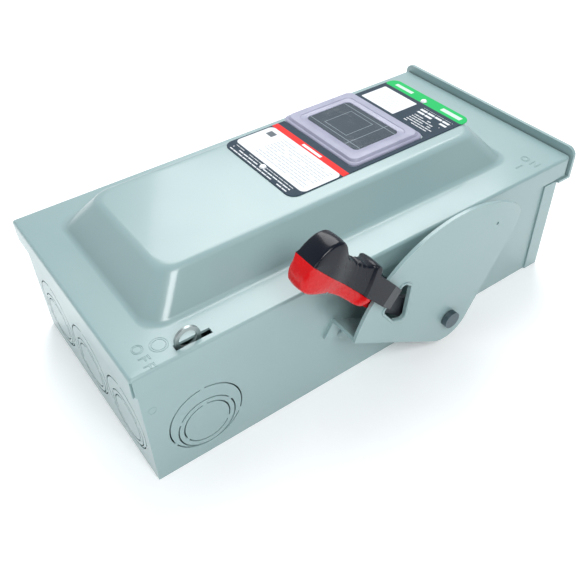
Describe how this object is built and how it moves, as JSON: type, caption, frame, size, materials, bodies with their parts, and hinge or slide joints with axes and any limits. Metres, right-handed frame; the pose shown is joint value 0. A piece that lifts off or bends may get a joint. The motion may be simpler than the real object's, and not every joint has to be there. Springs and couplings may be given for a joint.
{
  "type": "ac disconnect box",
  "caption": "Wall box disconnect with a raised side-hinged cover, a viewing window, a padlockable side lever and a three-pole blade switch inside.",
  "frame": {"origin": "centre of the back of the box, on the wall plane", "axes": "+X towards the handle side, +Y towards the hood (ON) end, +Z out of the wall through the cover"},
  "size_m": [0.1838, 0.31, 0.1308],
  "materials": {
    "sheet_steel": "satin powder coat",
    "zinc_plate": "bright zinc plate",
    "spring_steel": "oiled",
    "copper": "bright copper",
    "lug_aluminium": "tin plated",
    "phenolic": "moulded",
    "crossbar_resin": "moulded",
    "chute_fibre": "pressed fibre",
    "clear_sheet": "clear",
    "brass": "plain",
    "green_screw": "green dip",
    "grip_black": "gloss",
    "grip_red": "gloss",
    "label_aluminium": "printed, satin",
    "rivet_nylon": "gloss",
    "frame_plastic": "translucent",
    "gasket_rubber": "matt"
  },
  "bodies": {
    "box": {"enclosure_shell": "sheet_steel", "top_end_cap": "sheet_steel", "hub_closing_plate": "sheet_steel", "hub_plate_screws": "zinc_plate", "handle_bracket": "sheet_steel", "bracket_rivets": "sheet_steel", "shaft_bushing": "phenolic", "mechanism_frame": "zinc_plate", "frame_screws": "zinc_plate", "switch_base": "phenolic", "base_screws": "zinc_plate", "line_jaws": "copper", "load_jaws": "copper", "line_lugs": "lug_aluminium", "load_lugs": "lug_aluminium", "lug_screws": "zinc_plate", "arc_chutes": "chute_fibre", "line_shield": "clear_sheet", "shield_screws": "zinc_plate", "over_center_spring": "spring_steel", "ground_bar": "brass", "ground_bar_screws": "green_screw", "box_hinge_leaves": "sheet_steel", "hinge_pins": "zinc_plate", "latch_guide_rivets": "zinc_plate", "latch_spring": "spring_steel"},
    "handle": {"drive_shaft": "zinc_plate", "handle_arm": "phenolic", "hub_roll_pin": "zinc_plate", "grip_black": "grip_black", "grip_red": "grip_red", "grip_screws": "zinc_plate", "drive_crank": "zinc_plate", "spring_arm": "zinc_plate", "interlock_lever": "zinc_plate"},
    "link": {"drive_link": "zinc_plate"},
    "rotor": {"rotor_crossbar": "crossbar_resin", "moving_blades": "copper", "rotor_lever": "zinc_plate"},
    "cover": {"cover_panel": "sheet_steel", "cover_hinge_leaves": "sheet_steel", "nameplate": "label_aluminium", "nameplate_rivets": "rivet_nylon", "window_frame": "frame_plastic", "window_lens": "clear_sheet", "window_gasket": "gasket_rubber", "window_retainer": "zinc_plate", "retainer_screws": "zinc_plate", "interlock_catch": "zinc_plate"},
    "latch": {"cover_latch": "zinc_plate"}
  },
  "joints": [
    {"name": "handle_swing", "type": "hinge", "parent": "box", "child": "handle", "pos_m": [0.085, 0.0386, 0.0272], "axis": [-1, 0, 0], "range_deg": [0, 70], "deforming": ["over_center_spring"]},
    {"name": "rotor_swing", "type": "hinge", "parent": "box", "child": "rotor", "pos_m": [0, 0.047, 0.048], "axis": [-1, 0, 0], "range_deg": [0, 70]},
    {"name": "link_swing", "type": "hinge", "parent": "handle", "child": "link", "pos_m": [0.0615, 0.02338, 0.02226], "axis": [-1, 0, 0], "range_deg": [-70, 0]},
    {"name": "cover_hinge", "type": "hinge", "parent": "box", "child": "cover", "pos_m": [-0.0794, 0, 0.0696], "axis": [0, -1, 0], "range_deg": [0, 120]},
    {"name": "latch_slide", "type": "slide", "parent": "box", "child": "latch", "axis": [0, 1, 0], "range_m": [0, 0.005], "stiffness_N_per_m": 300, "springref_m": -0.003}
  ],
  "couplings": [
    {"joint": "rotor_swing", "follows": "handle_swing", "ratio": 1},
    {"joint": "link_swing", "follows": "handle_swing", "ratio": -1}
  ]
}
